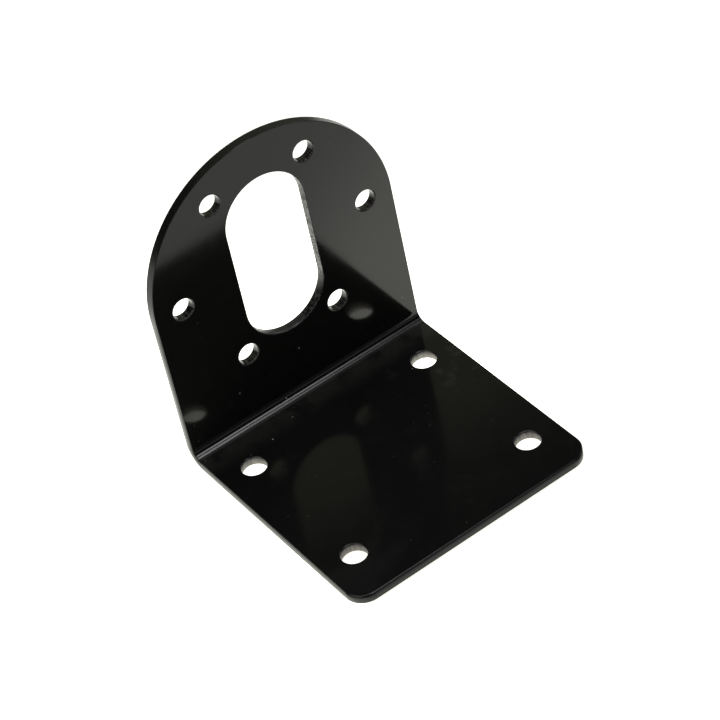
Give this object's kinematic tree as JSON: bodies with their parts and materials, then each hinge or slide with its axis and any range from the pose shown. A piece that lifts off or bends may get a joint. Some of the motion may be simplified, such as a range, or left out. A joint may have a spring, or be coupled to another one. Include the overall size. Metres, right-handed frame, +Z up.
{
  "type": "motor mounting bracket",
  "caption": "L-shaped sheet steel bracket: an arched upright with a slot and a ring of screw holes for a gear motor's face, and a flat base with bolt holes.",
  "frame": {"origin": "centre of the base's underside: halfway across the width and halfway from the upright's back to the base's front edge", "axes": "+Z up the upright, X along the fold, and the base runs forward to -Y, so the motor sits on the -Y side of the upright"},
  "size_m": [0.04, 0.041, 0.0463],
  "materials": {
    "black_paint": "semi-gloss black paint over steel"
  },
  "bodies": {
    "root": {"bracket": "black_paint"}
  },
  "joints": []
}
